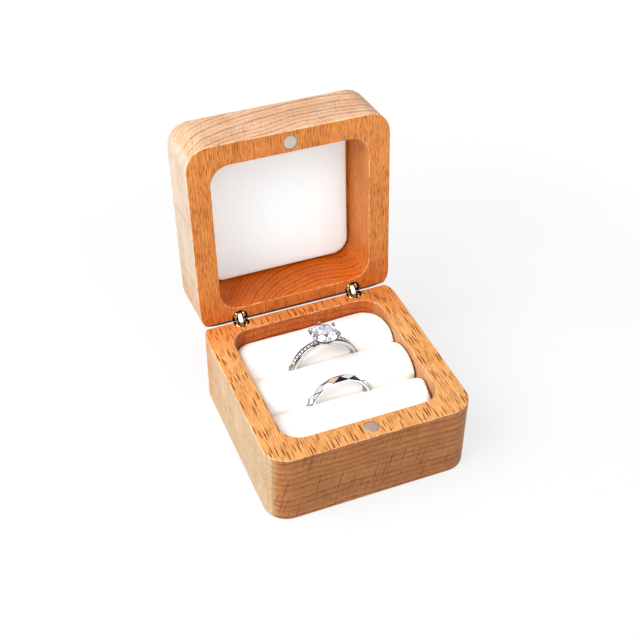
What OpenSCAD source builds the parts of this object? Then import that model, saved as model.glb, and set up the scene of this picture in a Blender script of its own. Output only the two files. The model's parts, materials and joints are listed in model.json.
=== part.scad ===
// Square wooden ring box with a hinged lid, held open, and two rings in its velvet rolls.
// Units are millimetres. The box stands on z = 0 with its front towards -Y.
// The lid is modelled closed on the base and then swung open about its two hinge pins.

/* [Box] */
// Width of the box, left to right
box_w = 60; // [58:0.5:66]
// Depth of the box, front to back
box_d = 60; // [58:0.5:66]
// Height of the base block
base_h = 23.5; // [23:0.5:30]
// Height of the lid block
lid_h = 18; // [17:0.5:24]
// Radius of the four upright outer corners
corner_r = 6.8; // [4:0.2:9]
// Radius of the eased bottom edge of the base and top edge of the lid
outer_edge_r = 0.8; // [0.4:0.1:2]
// Radius of the eased edges where base and lid meet
rim_edge_r = 0.4; // [0.2:0.1:0.6]
// Angle of the open lid, measured from closed
open_angle = 95; // [60:1:95]

/* [Pockets] */
// Wall thickness round the pocket in the base
base_wall = 6.9; // [6.5:0.1:8]
// Wall thickness round the pocket in the lid
lid_wall = 6.6; // [6.5:0.1:8]
// Wood left under the base pocket
base_floor = 4.5; // [3:0.5:5]
// Wood left over the lid pocket
lid_roof = 2.6; // [2:0.2:3]
// Radius of the upright corners of both pockets
pocket_r = 5.8; // [3:0.2:7]

/* [Hinges] */
// Distance of each hinge from the middle of the box
hinge_x = 18; // [14:0.5:19]
// Distance of the hinge barrels from the rear face
hinge_inset = 3.1; // [3.1:0.1:3.4]
// Diameter of a hinge barrel
barrel_d = 4.8; // [4:0.1:5]
// Length of a hinge barrel
barrel_len = 11; // [8:0.5:13]
// Depth of the hinge pins under the meeting faces
pin_depth = 1.9; // [1.8:0.05:2.1]
// Diameter of a hinge pin
pin_d = 1; // [0.8:0.1:1.1]
// Thickness of the hinge link
link_t = 1.4; // [1.2:0.1:1.6]
// Height of the 45 degree bevel along both rear edges
rear_bevel = 2.8; // [2.8:0.1:3]

/* [Magnets] */
// Diameter of each closing magnet
magnet_d = 4; // [3:0.5:5]
// Thickness of each closing magnet
magnet_t = 2; // [1:0.5:3]
// Distance of the magnets from the front face
magnet_inset = 3.6; // [3.2:0.1:4]

/* [Velvet rolls] */
// Height of the front roll's crown over the underside of the box
front_crown_z = 20.4; // [19:0.2:22]
// Height of the middle roll's crown
middle_crown_z = 21.8; // [19:0.2:22.6]
// Height of the rear roll's crown
rear_crown_z = 21.4; // [19:0.2:22.6]
// Place of the front ring slot, front to back
front_slot_y = -7.7; // [-8.5:0.1:-6.5]
// Place of the rear ring slot, front to back
rear_slot_y = 6.9; // [6:0.1:8]
// Rise of a roll's crown over its shoulders
crown_rise = 2.6; // [1.5:0.1:3]
// Thickness of the velvet
velvet_t = 0.6; // [0.4:0.1:0.8]

/* [Rings] */
// Outer radius of the faceted wedding band
band_r = 9.4; // [9:0.1:9.8]
// Width of the wedding band
band_w = 2.4; // [1.8:0.1:3]
// Outer radius of the solitaire ring's shank
shank_r = 10.5; // [9:0.1:10.6]
// Width of the solitaire ring's shank
shank_w = 2.4; // [1.8:0.1:2.6]
// Thickness of both rings
ring_t = 1.4; // [1.2:0.1:1.6]
// Diameter of the centre stone
stone_d = 7.2; // [6:0.1:7.4]
// Number of accent stones on each shoulder
accent_count = 8; // [4:1:9]

/* [Hidden] */
$fn = 64;
eps = 0.01;

// Gap left between the two meeting faces when the lid is shut
closed_gap = 0.1;
lid_z = base_h + closed_gap;
closed_h = lid_z + lid_h;

// Hinge points: the pins at rest and the angle each joint turns through
hinge_y = box_d / 2 - hinge_inset;
base_pin_z = base_h - pin_depth;
lid_pin_z = lid_z + pin_depth;
link_len = lid_pin_z - base_pin_z;
half_angle = open_angle / 2;
open_lid_pin_y = hinge_y + link_len * sin(half_angle);
open_lid_pin_z = base_pin_z + link_len * cos(half_angle);

// Hinge details
ear_span = 4;
ear_r = pin_depth - 0.05;
link_r = 1.25;
link_slot_w = link_t + 0.2;
link_slot_floor = link_r + 0.25;
shank_top = 1;
pin_running_clearance = 0.04;
bore_spare = 0.2;

// Soft insert
board_t = 0.8;
insert_clearance = 0.3;
slot_gap = 0.2;
board_top_z = base_floor + board_t;
pocket_half_w = box_w / 2 - base_wall;
pocket_half_d = box_d / 2 - base_wall;
roll_half_w = pocket_half_w - insert_clearance;
roll_half_d = pocket_half_d - insert_clearance;

// Lid pad: board, foam and velvet from the pocket's roof down
pad_board_t = 0.6;
pad_foam_t = 0.7;
pad_velvet_t = 0.4;
pad_clearance = 0.4;
pad_w = box_w - 2 * (lid_wall + pad_clearance);
pad_d = box_d - 2 * (lid_wall + pad_clearance);
pad_r = pocket_r - pad_clearance;
roof_z = closed_h - lid_roof;

// Rings stand upright across the slots, each on the foam left under it
groove_spare = 0.15;
band_x = -1.2;
band_foam_under = 1.7;
band_z = board_top_z + band_foam_under + band_r;
solitaire_x = 0.1;
shank_foam_under = 0.9;
shank_z = board_top_z + shank_foam_under + shank_r;
section_r = 0.3;

// Centre stone, in the proportions of a round brilliant cut
stone_r = stone_d / 2;
table_r = stone_r * 0.56;
crown_h = stone_d * 0.155;
girdle_h = stone_d * 0.03;
pavilion_h = stone_d * 0.43;
stone_lift = 2.2;
culet_spare = 0.2;
girdle_z = shank_z + shank_r + stone_lift;

// Claws and galleries that hold the centre stone
prong_count = 6;
prong_d = 0.9;
prong_foot_r = 1.5;
prong_foot_z = shank_z + shank_r - 0.4;
prong_tip_z = girdle_z + girdle_h + 0.45;
prong_top_r = stone_r + 0.1;
gallery_d = 0.7;

// Accent stones sit in a row on each shoulder
accent_d = 1.05;
accent_first_angle = 21;
accent_step_angle = 6.3;
accent_proud = 0.25;
accent_h = 0.7;

// ---- shared shapes ----

// Flat rounded rectangle centred on the origin
module rounded_outline(w, d, r) {
    square([w - 2 * r, d], center = true);
    square([w, d - 2 * r], center = true);
    for (sx = [-1, 1], sy = [-1, 1])
        translate([sx * (w / 2 - r), sy * (d / 2 - r)]) circle(r);
}

module rounded_plate(w, d, h, r) {
    linear_extrude(h) rounded_outline(w, d, r);
}

// Half section of a block: from its middle out to an edge eased below and above
module eased_section(reach, h, low_r, high_r) {
    translate([0, low_r]) square([reach, h - low_r - high_r]);
    square([reach - low_r, low_r]);
    translate([reach - low_r, low_r]) circle(low_r);
    translate([0, h - high_r]) square([reach - high_r, high_r]);
    translate([reach - high_r, h - high_r]) circle(high_r);
}

// One straight run of a block, eased on its two long sides
module eased_run(w, d, h, low_r, high_r) {
    translate([-w / 2, 0, 0]) rotate([90, 0, 90]) linear_extrude(w) {
        eased_section(d / 2, h, low_r, high_r);
        mirror([1, 0]) eased_section(d / 2, h, low_r, high_r);
    }
}

// Block with round upright corners and eased top and bottom edges
module eased_block(w, d, h, r, low_r, high_r) {
    eased_run(w - 2 * r, d, h, low_r, high_r);
    rotate([0, 0, 90]) eased_run(d - 2 * r, w, h, low_r, high_r);
    for (sx = [-1, 1], sy = [-1, 1])
        translate([sx * (w / 2 - r), sy * (d / 2 - r), 0])
            rotate_extrude() intersection() {
                eased_section(r, h, low_r, high_r);
                square([r, h]);
            }
}

// Wedge that cuts a 45 degree bevel along an edge that runs left to right
module bevel_cut(size) {
    rotate([90, 0, 90]) linear_extrude(box_w + 2, center = true)
        polygon([[-size, eps], [eps, eps], [eps, -size]]);
}

// Carries what is drawn on the shut box round to the open position
module swing_link() {
    translate([0, hinge_y, base_pin_z]) rotate([-half_angle, 0, 0])
        translate([0, -hinge_y, -base_pin_z]) children();
}

module swing_lid() {
    translate([0, open_lid_pin_y, open_lid_pin_z]) rotate([-open_angle, 0, 0])
        translate([0, -hinge_y, -lid_pin_z]) children();
}

// ---- wooden blocks ----

module hinge_bores(face_z, into) {
    for (side = [-1, 1])
        translate([side * hinge_x, hinge_y, face_z])
            mirror([0, 0, into < 0 ? 1 : 0])
                translate([0, 0, -1]) cylinder(d = barrel_d, h = barrel_len + bore_spare + 1);
}

module base_block() {
    color("burlywood") difference() {
        eased_block(box_w, box_d, base_h, corner_r, outer_edge_r, rim_edge_r);
        translate([0, 0, base_floor])
            rounded_plate(2 * pocket_half_w, 2 * pocket_half_d, base_h, pocket_r);
        translate([0, box_d / 2, base_h]) bevel_cut(rear_bevel);
        hinge_bores(base_h, -1);
        translate([0, magnet_inset - box_d / 2, base_h - magnet_t])
            cylinder(d = magnet_d, h = magnet_t + 1);
    }
}

module lid_block() {
    color("burlywood") swing_lid() difference() {
        translate([0, 0, lid_z])
            eased_block(box_w, box_d, lid_h, corner_r, rim_edge_r, outer_edge_r);
        translate([0, 0, lid_z - 1])
            rounded_plate(box_w - 2 * lid_wall, box_d - 2 * lid_wall, roof_z - lid_z + 1, pocket_r);
        translate([0, box_d / 2, lid_z]) mirror([0, 0, 1]) bevel_cut(rear_bevel);
        hinge_bores(lid_z, 1);
        translate([0, magnet_inset - box_d / 2, lid_z - 1])
            cylinder(d = magnet_d, h = magnet_t + 1);
    }
}

// ---- magnets ----

module magnet_disc() {
    color("silver") cylinder(d = magnet_d, h = magnet_t);
}

module base_magnet() {
    translate([0, magnet_inset - box_d / 2, base_h - magnet_t]) magnet_disc();
}

module lid_magnet() {
    swing_lid() translate([0, magnet_inset - box_d / 2, lid_z]) magnet_disc();
}

// ---- barrel hinges ----
// Each part is drawn about its own pin, with the meeting face above it.

module hinge_barrel() {
    color("goldenrod") difference() {
        union() {
            translate([0, 0, pin_depth - barrel_len])
                cylinder(d = barrel_d, h = barrel_len - pin_depth - shank_top);
            intersection() {
                translate([0, 0, -shank_top - 1]) cylinder(d = barrel_d, h = ear_r + shank_top + 2);
                union() {
                    rotate([0, 90, 0]) cylinder(r = ear_r, h = ear_span, center = true);
                    translate([-ear_span / 2, -ear_r, -shank_top - 1])
                        cube([ear_span, 2 * ear_r, shank_top + 1]);
                }
            }
        }
        translate([-link_slot_w / 2, -barrel_d, -link_slot_floor])
            cube([link_slot_w, 2 * barrel_d, link_slot_floor + barrel_d]);
        rotate([0, 90, 0]) cylinder(d = pin_d, h = 2 * barrel_d, center = true);
    }
}

module hinge_pin() {
    color("darkgoldenrod") rotate([0, 90, 0]) cylinder(d = pin_d, h = ear_span, center = true);
}

module hinge_link() {
    hole_d = pin_d + 2 * pin_running_clearance;
    color("gold") difference() {
        union() {
            for (z = [0, link_len])
                translate([0, 0, z]) rotate([0, 90, 0]) cylinder(r = link_r, h = link_t, center = true);
            translate([-link_t / 2, -link_r, 0]) cube([link_t, 2 * link_r, link_len]);
        }
        for (z = [0, link_len])
            translate([0, 0, z]) rotate([0, 90, 0]) cylinder(d = hole_d, h = 2 * link_t, center = true);
    }
}

module at_base_pin(side) {
    translate([side * hinge_x, hinge_y, base_pin_z]) children();
}

module at_lid_pin(side) {
    swing_lid() translate([side * hinge_x, hinge_y, lid_pin_z]) mirror([0, 0, 1]) children();
}

// ---- velvet rolls on their board ----

module insert_board() {
    color("gainsboro") translate([0, 0, base_floor])
        rounded_plate(2 * roll_half_w, 2 * roll_half_d, board_t, pocket_r - insert_clearance);
}

// A roll between y0 and y1, with a crowned top, inset all round but underneath
module roll_shape(y0, y1, crown_z, inset) {
    half_y = (y1 - y0) / 2;
    crown_r = (half_y * half_y + crown_rise * crown_rise) / (2 * crown_rise);
    intersection() {
        translate([0, 0, board_top_z])
            rounded_plate(2 * (roll_half_w - inset), 2 * (roll_half_d - inset), base_h,
                          pocket_r - insert_clearance - inset);
        translate([0, (y0 + y1) / 2, crown_z - crown_r]) rotate([0, 90, 0])
            cylinder(r = crown_r - inset, h = box_w, center = true, $fn = 128);
        translate([-box_w / 2, y0 + inset, 0]) cube([box_w, y1 - y0 - 2 * inset, base_h]);
    }
}

// Channel that a standing ring presses into the two rolls beside it
module ring_channel(x, y, z, ring_r, width, spare) {
    translate([x, y, z]) rotate([90, 0, 0]) difference() {
        cylinder(r = ring_r + spare, h = width + 2 * spare, center = true);
        cylinder(r = ring_r - ring_t - spare, h = width + 2 * spare + 1, center = true);
    }
}

module ring_channels(spare) {
    ring_channel(band_x, front_slot_y, band_z, band_r, band_w, spare);
    ring_channel(solitaire_x, rear_slot_y, shank_z, shank_r, shank_w, spare);
}

module roll_foam(y0, y1, crown_z) {
    color("whitesmoke") difference() {
        roll_shape(y0, y1, crown_z, velvet_t);
        ring_channels(groove_spare + velvet_t);
    }
}

module roll_velvet(y0, y1, crown_z) {
    color("white") difference() {
        roll_shape(y0, y1, crown_z, 0);
        ring_channels(groove_spare);
        roll_foam(y0, y1, crown_z);
    }
}

front_roll = [-roll_half_d, front_slot_y - slot_gap / 2, front_crown_z];
middle_roll = [front_slot_y + slot_gap / 2, rear_slot_y - slot_gap / 2, middle_crown_z];
rear_roll = [rear_slot_y + slot_gap / 2, roll_half_d, rear_crown_z];

// ---- lid pad ----

module lid_pad_board() {
    color("gainsboro") swing_lid() translate([0, 0, roof_z - pad_board_t])
        rounded_plate(pad_w - 2 * pad_velvet_t, pad_d - 2 * pad_velvet_t, pad_board_t,
                      pad_r - pad_velvet_t);
}

module lid_pad_foam() {
    color("whitesmoke") swing_lid() translate([0, 0, roof_z - pad_board_t - pad_foam_t])
        rounded_plate(pad_w - 2 * pad_velvet_t, pad_d - 2 * pad_velvet_t, pad_foam_t,
                      pad_r - pad_velvet_t);
}

// Velvet drawn over the foam and down the pad's edges
module lid_pad_velvet() {
    filling_t = pad_board_t + pad_foam_t;
    color("white") swing_lid() difference() {
        translate([0, 0, roof_z - filling_t - pad_velvet_t])
            rounded_plate(pad_w, pad_d, filling_t + pad_velvet_t, pad_r);
        translate([0, 0, roof_z - filling_t])
            rounded_plate(pad_w - 2 * pad_velvet_t, pad_d - 2 * pad_velvet_t, filling_t + 1,
                          pad_r - pad_velvet_t);
    }
}

// ---- rings ----

// Turned ring with softened edges, standing upright with its axis front to back
module turned_ring(ring_r, width) {
    rotate([90, 0, 0]) rotate_extrude($fn = 128)
        translate([ring_r - ring_t / 2, 0]) rounded_outline(ring_t, width, section_r);
}

// Flat cuts that alternate across the outside of the band
module band_cuts() {
    cut_count = 12;
    cut_depth = 0.25;
    for (i = [0 : cut_count - 1])
        rotate([0, i * 360 / cut_count, 0])
            translate([0, 0, band_r - cut_depth])
                rotate([i % 2 == 0 ? 14 : -14, 0, 0])
                    translate([-band_r / 2, -band_w, 0]) cube([band_r, 2 * band_w, band_r / 2]);
}

module wedding_band() {
    color("silver") translate([band_x, front_slot_y, band_z]) difference() {
        turned_ring(band_r, band_w);
        band_cuts();
    }
}

module accent_places(spare) {
    for (side = [-1, 1], i = [0 : accent_count - 1])
        rotate([0, side * (accent_first_angle + i * accent_step_angle), 0])
            translate([0, 0, shank_r + accent_proud - accent_h])
                cylinder(d = accent_d, h = accent_h + spare);
}

module solitaire_shank() {
    color("silver") translate([solitaire_x, rear_slot_y, shank_z]) difference() {
        turned_ring(shank_r, shank_w);
        accent_places(1);
        translate([0, 0, girdle_z - shank_z - culet_spare]) brilliant();
    }
}

module solitaire_accent_stones() {
    color("lightcyan") translate([solitaire_x, rear_slot_y, shank_z]) accent_places(0);
}

module brilliant() {
    rotate_extrude() polygon([
        [0, -pavilion_h], [stone_r, 0], [stone_r, girdle_h],
        [table_r, girdle_h + crown_h], [0, girdle_h + crown_h]
    ]);
}

module solitaire_stone() {
    color("lightcyan") translate([solitaire_x, rear_slot_y, girdle_z]) brilliant();
}

module prong() {
    rise = prong_tip_z - prong_foot_z;
    lean = prong_top_r - prong_foot_r;
    translate([prong_foot_r, 0, prong_foot_z]) rotate([0, atan2(lean, rise), 0]) {
        cylinder(d = prong_d, h = norm([rise, lean]));
        translate([0, 0, norm([rise, lean])]) sphere(d = prong_d);
    }
}

module gallery(r, z) {
    translate([0, 0, z]) rotate_extrude() translate([r, 0]) circle(d = gallery_d);
}

module solitaire_head() {
    color("silver") difference() {
        translate([solitaire_x, rear_slot_y, 0]) {
            for (i = [0 : prong_count - 1])
                rotate([0, 0, (i + 0.5) * 360 / prong_count]) prong();
            gallery(prong_foot_r + 0.1, prong_foot_z + 0.5);
            gallery(stone_r - 0.6, girdle_z - 0.9);
        }
        translate([solitaire_x, rear_slot_y, girdle_z]) brilliant();
        translate([solitaire_x, rear_slot_y, shank_z]) rotate([90, 0, 0])
            cylinder(r = shank_r, h = 10, center = true, $fn = 128);
    }
}

// ---- nodes ----

base_block();
base_magnet();
insert_board();
roll_foam(front_roll[0], front_roll[1], front_roll[2]);  // front_roll_foam
roll_foam(middle_roll[0], middle_roll[1], middle_roll[2]);  // middle_roll_foam
roll_foam(rear_roll[0], rear_roll[1], rear_roll[2]);  // rear_roll_foam
roll_velvet(front_roll[0], front_roll[1], front_roll[2]);  // front_roll_velvet
roll_velvet(middle_roll[0], middle_roll[1], middle_roll[2]);  // middle_roll_velvet
roll_velvet(rear_roll[0], rear_roll[1], rear_roll[2]);  // rear_roll_velvet
at_base_pin(-1) hinge_barrel();  // left_hinge_base_barrel
at_base_pin(-1) hinge_pin();  // left_hinge_base_pin
swing_link() at_base_pin(-1) hinge_link();  // left_hinge_link
at_lid_pin(-1) hinge_pin();  // left_hinge_lid_pin
at_lid_pin(-1) hinge_barrel();  // left_hinge_lid_barrel
at_base_pin(1) hinge_barrel();  // right_hinge_base_barrel
at_base_pin(1) hinge_pin();  // right_hinge_base_pin
swing_link() at_base_pin(1) hinge_link();  // right_hinge_link
at_lid_pin(1) hinge_pin();  // right_hinge_lid_pin
at_lid_pin(1) hinge_barrel();  // right_hinge_lid_barrel
lid_block();
lid_magnet();
lid_pad_board();
lid_pad_foam();
lid_pad_velvet();
wedding_band();
solitaire_shank();
solitaire_head();
solitaire_stone();
solitaire_accent_stones();
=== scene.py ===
import json
from contextlib import contextmanager
from math import cos, hypot, pi, radians, sin, sqrt

import bmesh
import bpy
from mathutils import Matrix, Vector, noise


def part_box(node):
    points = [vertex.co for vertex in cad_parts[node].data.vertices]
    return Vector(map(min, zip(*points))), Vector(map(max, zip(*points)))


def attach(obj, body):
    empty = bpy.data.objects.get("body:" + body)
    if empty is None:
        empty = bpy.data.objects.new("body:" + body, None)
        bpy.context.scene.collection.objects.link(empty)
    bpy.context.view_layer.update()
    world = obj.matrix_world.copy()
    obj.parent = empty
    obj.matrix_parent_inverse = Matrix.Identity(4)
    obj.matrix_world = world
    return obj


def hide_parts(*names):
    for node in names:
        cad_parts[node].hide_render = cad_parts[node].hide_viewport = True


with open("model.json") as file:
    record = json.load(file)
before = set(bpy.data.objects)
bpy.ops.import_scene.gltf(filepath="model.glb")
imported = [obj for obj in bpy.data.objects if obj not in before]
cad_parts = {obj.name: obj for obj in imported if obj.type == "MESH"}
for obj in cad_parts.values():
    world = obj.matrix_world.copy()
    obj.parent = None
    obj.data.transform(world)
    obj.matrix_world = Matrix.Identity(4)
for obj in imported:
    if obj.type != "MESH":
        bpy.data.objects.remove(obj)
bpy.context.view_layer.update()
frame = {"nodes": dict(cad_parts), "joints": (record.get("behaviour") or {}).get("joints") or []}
MM = 0.001


# ---- places and sizes that come from the frame ----

def joint_named(name):
    return next(j for j in frame["joints"] if j["name"] == name)


BASE_PIN = Vector(joint_named("link_swing")["pos_m"])
OPEN_LID_PIN = Vector(joint_named("lid_swing")["pos_m"])
LINK_LENGTH = (OPEN_LID_PIN - BASE_PIN).length
SHUT_LID_PIN = BASE_PIN + Vector((0, 0, LINK_LENGTH))
LINK_ANGLE = radians(joint_named("link_swing")["range_deg"][1])
OPEN_ANGLE = LINK_ANGLE + radians(joint_named("lid_swing")["range_deg"][1])

BASE_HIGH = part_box("base_block")[1]
BOX_HALF = BASE_HIGH.x
BASE_TOP = BASE_HIGH.z
CLOSED_GAP = 0.1 * MM
LID_FACE = BASE_TOP + CLOSED_GAP
LID_HEIGHT = 18 * MM
CORNER_R = 6.8 * MM
OUTER_EASE = 0.8 * MM
RIM_EASE = 0.4 * MM
POCKET_R = 5.8 * MM
POCKET_EASE = 0.35 * MM
BASE_WALL = 6.9 * MM
LID_WALL = 6.6 * MM
BASE_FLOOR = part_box("insert_board")[0].z
LID_ROOF = 2.6 * MM
REAR_BEVEL = 2.8 * MM
HINGE_X = 18 * MM
BARREL_D = 4.8 * MM
BARREL_LEN = 11 * MM
MAGNET_D = 4 * MM
MAGNET_T = 2 * MM


def turned_about(point, angle, to_point):
    """Rotation about an axis along X through a point, which itself goes to to_point."""
    return (Matrix.Translation(to_point) @ Matrix.Rotation(angle, 4, "X")
            @ Matrix.Translation(-point))


# These carry a piece drawn on the shut box to where it is on the open one.
LID_OPEN = turned_about(SHUT_LID_PIN, -OPEN_ANGLE, OPEN_LID_PIN)
LINK_OPEN = turned_about(BASE_PIN, -LINK_ANGLE, BASE_PIN)
UPSIDE_DOWN = Matrix.Rotation(pi, 4, "X")


# ---- mesh helpers ----

def assign(thing, **values):
    for key, value in values.items():
        setattr(thing, key, value)
    return thing


def add_object(name, data):
    obj = bpy.data.objects.new(name, data)
    bpy.context.scene.collection.objects.link(obj)
    return obj


def shape(name, points, faces):
    """New object with a mesh of these points and faces."""
    mesh = bpy.data.meshes.new(name)
    mesh.from_pydata([tuple(p) for p in points], [], faces)
    mesh.validate()
    mesh.update()
    return add_object(name, mesh)


def circle(steps):
    """Cosine and sine at even steps round a circle."""
    turns = (2 * pi * i / steps for i in range(steps))
    return [(cos(t), sin(t)) for t in turns]


def quarter(steps):
    """Cosine and sine at even steps from 0 to 90 degrees, both ends included."""
    turns = (radians(90 * i / steps) for i in range(steps + 1))
    return [(cos(t), sin(t)) for t in turns]


def rounded_loop(half, r, z, steps=12):
    """Points round a rounded square at height z, counter-clockwise from above."""
    points = []
    for sx, sy, start in ((1, 1, 0), (-1, 1, 90), (-1, -1, 180), (1, -1, 270)):
        for i in range(steps + 1):
            a = radians(start + 90 * i / steps)
            points.append(Vector((sx * (half - r) + r * cos(a),
                                  sy * (half - r) + r * sin(a), z)))
    return points


def quads(low, high, count):
    """Faces between two closed rows of count points, which start at low and high."""
    return [[low + i, low + (i + 1) % count, high + (i + 1) % count, high + i]
            for i in range(count)]


def loft(name, loops, flip=False):
    """Closed object through a list of point loops, capped at both ends."""
    count = len(loops[0])
    points = [p for loop in loops for p in loop]
    faces = [list(reversed(range(count)))]
    for k in range(len(loops) - 1):
        faces += quads(k * count, (k + 1) * count, count)
    faces.append(list(range(len(points) - count, len(points))))
    if flip:
        faces = [list(reversed(f)) for f in faces]
    return shape(name, points, faces)


def prism(name, outline, half_x):
    """Bar along X through an outline in Y and Z."""
    return loft(name, [[Vector((x, y, z)) for y, z in outline] for x in (-half_x, half_x)])


def lathe(name, profile, steps=48):
    """Closed turned shape about Z from (radius, z) pairs that run from low to high."""
    return loft(name, [[Vector((r * c, r * s, z)) for c, s in circle(steps)]
                       for r, z in profile])


def add_to_bmesh(bm, obj):
    """Copies an object's mesh into bm and deletes the object."""
    bm.from_mesh(obj.data)
    bpy.data.objects.remove(obj)


@contextmanager
def editing(obj):
    """Opens an object's mesh as a bmesh and writes it back at the end."""
    bm = bmesh.new()
    bm.from_mesh(obj.data)
    yield bm
    bm.to_mesh(obj.data)
    bm.free()


def consistent_normals(obj):
    with editing(obj) as bm:
        bmesh.ops.recalc_face_normals(bm, faces=bm.faces)
    return obj


def apply_modifiers(obj):
    depsgraph = bpy.context.evaluated_depsgraph_get()
    baked = bpy.data.meshes.new_from_object(obj.evaluated_get(depsgraph))
    obj.modifiers.clear()
    obj.data = baked
    return obj


def cut(obj, cutters):
    """Subtracts the cutters from obj and removes them."""
    for cutter in cutters:
        assign(obj.modifiers.new("cut", "BOOLEAN"), operation="DIFFERENCE", solver="EXACT",
               object=cutter)
    apply_modifiers(obj)
    for cutter in cutters:
        bpy.data.objects.remove(cutter)


def shade_smooth(obj):
    for face in obj.data.polygons:
        face.use_smooth = True


def smooth(obj, angle=30):
    """Smooth shading with sharp edges kept, and flat faces that stay flat."""
    shade_smooth(obj)
    obj.data.set_sharp_from_angle(angle=radians(angle))
    obj.modifiers.new("flat_faces", "WEIGHTED_NORMAL").keep_sharp = True
    return apply_modifiers(obj)


def soften_edges(obj, width, segments=2, angle=35, material=-1):
    assign(obj.modifiers.new("soften", "BEVEL"), width=width, segments=segments,
           limit_method="ANGLE", angle_limit=radians(angle), use_clamp_overlap=True,
           material=material)
    return apply_modifiers(obj)


def hole_cutter(a, b, radius):
    """Cylinder from a to b."""
    axis = (b - a).normalized()
    side = axis.orthogonal().normalized()
    up = axis.cross(side)
    return loft("hole", [[end + radius * (c * side + s * up) for c, s in circle(48)]
                         for end in (a, b)])


def hand_over(obj, material, body, slot, *nodes, matrix=Matrix()):
    """The piece rides on body and stands for the CAD nodes. slot is not used.

    A piece with two materials is painted before, and its material here is None.
    """
    if material:
        paint(obj, material)
    obj.matrix_world = matrix
    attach(obj, body)
    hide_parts(*nodes)


# ---- node helpers ----

class Nodes:
    """Short calls for building the node tree of a material, or of a world."""

    def __init__(self, name, world=False):
        self.material = (bpy.data.worlds if world else bpy.data.materials).new(name)
        self.material.use_nodes = True
        self.tree = self.material.node_tree
        self.shader = self.tree.nodes["Background" if world else "Principled BSDF"]

    def add(self, kind, **settings):
        return assign(self.tree.nodes.new("ShaderNode" + kind), **settings)

    def put(self, socket, value):
        if isinstance(value, bpy.types.NodeSocket):
            self.tree.links.new(value, socket)
        else:
            socket.default_value = value

    def fill(self, node, *values, output=0):
        """Puts values into a node's first inputs, in order, and gives one of its outputs."""
        for socket, value in zip(node.inputs, values):
            self.put(socket, value)
        return node.outputs[output]

    def feed(self, node, **sockets):
        """Puts values into a node's inputs by name, with _ for a space in the name."""
        for key, value in sockets.items():
            self.put(node.inputs[key.replace("_", " ")], value)
        return node.outputs

    def set(self, **sockets):
        self.feed(self.shader, **sockets)
        return self.material

    def math(self, operation, *values):
        return self.fill(self.add("Math", operation=operation), *values)

    def minus(self, a, b):
        return self.math("SUBTRACT", a, b)

    def scaled(self, value, factor, shift):
        return self.math("MULTIPLY_ADD", value, factor, shift)

    def size(self, value):
        return self.math("ABSOLUTE", value)

    def times(self, first, *others):
        for other in others:
            first = self.math("MULTIPLY", first, other)
        return first

    def largest(self, first, *others):
        for other in others:
            first = self.math("MAXIMUM", first, other)
        return first

    def vector(self, operation, *values):
        output = "Value" if operation == "LENGTH" else "Vector"
        return self.fill(self.add("VectorMath", operation=operation), *values, output=output)

    def enlarge(self, vector, scale):
        return self.feed(self.add("VectorMath", operation="SCALE"), Vector=vector,
                         Scale=scale)["Vector"]

    def place(self):
        """Where a point is in its piece, in millimetres."""
        return self.enlarge(self.add("TexCoord").outputs["Object"], 1 / MM)

    def facing(self):
        """Which way the surface faces in its piece."""
        return self.add("TexCoord").outputs["Normal"]

    def split(self, vector):
        node = self.add("SeparateXYZ")
        self.fill(node, vector)
        return list(node.outputs)

    def noise(self, vector, scale, detail=2.0, roughness=0.5, stretch=None, output="Fac"):
        if stretch:
            vector = self.vector("MULTIPLY", vector, stretch)
        return self.feed(self.add("TexNoise"), Vector=vector, Scale=scale, Detail=detail,
                         Roughness=roughness)[output]

    def open_sky(self, distance, samples):
        """1 in the open, falling where other surfaces stand within distance metres."""
        return self.feed(self.add("AmbientOcclusion", samples=samples), Distance=distance)["AO"]

    def facet(self, steps):
        """A random value from 0 to 1 for each direction that a flat facet can face."""
        shifted = self.vector("ADD", self.enlarge(self.facing(), steps), (0.37, 0.37, 0.37))
        return self.feed(self.add("TexWhiteNoise"), Vector=self.vector("FLOOR", shifted))["Value"]

    def remap(self, value, low, high, to_low=0.0, to_high=1.0, kind="SMOOTHSTEP"):
        node = self.add("MapRange", interpolation_type=kind)
        return self.fill(node, value, low, high, to_low, to_high)

    def fall(self, value, start, end):
        """1 up to start, falling smoothly to 0 at end."""
        return self.remap(value, start, end, 1.0, 0.0)

    def mix(self, factor, a, b, blend="MIX"):
        node = self.add("Mix", data_type="RGBA", blend_type=blend)
        self.put(node.inputs[0], factor)
        for socket, value in ((node.inputs[6], a), (node.inputs[7], b)):
            self.put(socket, value if isinstance(value, bpy.types.NodeSocket) else (*value, 1))
        return node.outputs[2]

    def stain(self, tone, share, colour):
        """Multiplies tone by colour, as far as share says."""
        return self.mix(share, tone, colour, "MULTIPLY")

    def bump(self, height, distance, strength):
        self.set(Normal=self.feed(self.add("Bump"), Strength=strength, Distance=distance,
                                  Height=height)["Normal"])


def paint(obj, *materials):
    obj.data.materials.clear()
    for material in materials:
        obj.data.materials.append(material)


# ---- ring measures ----

def ring_facts(node):
    low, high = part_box(node)
    return (low + high) / 2, (high.x - low.x) / 2


RING_T = 1.4 * MM
RING_W = 2.4 * MM
BAND_CENTRE, BAND_R = ring_facts("wedding_band")
SHANK_CENTRE, SHANK_R = ring_facts("solitaire_shank")
SHANK_CENTRE.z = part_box("solitaire_shank")[0].z + SHANK_R
ACCENT_FIRST = 21.0
ACCENT_STEP = 6.3
ACCENT_COUNT = 8
ACCENT_R = 0.44 * MM
ACCENT_LIFT = 0.02 * MM
BEAD_R = 0.15 * MM
CAD_STONE_DEPTH = 0.43


# ---- materials ----

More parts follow.
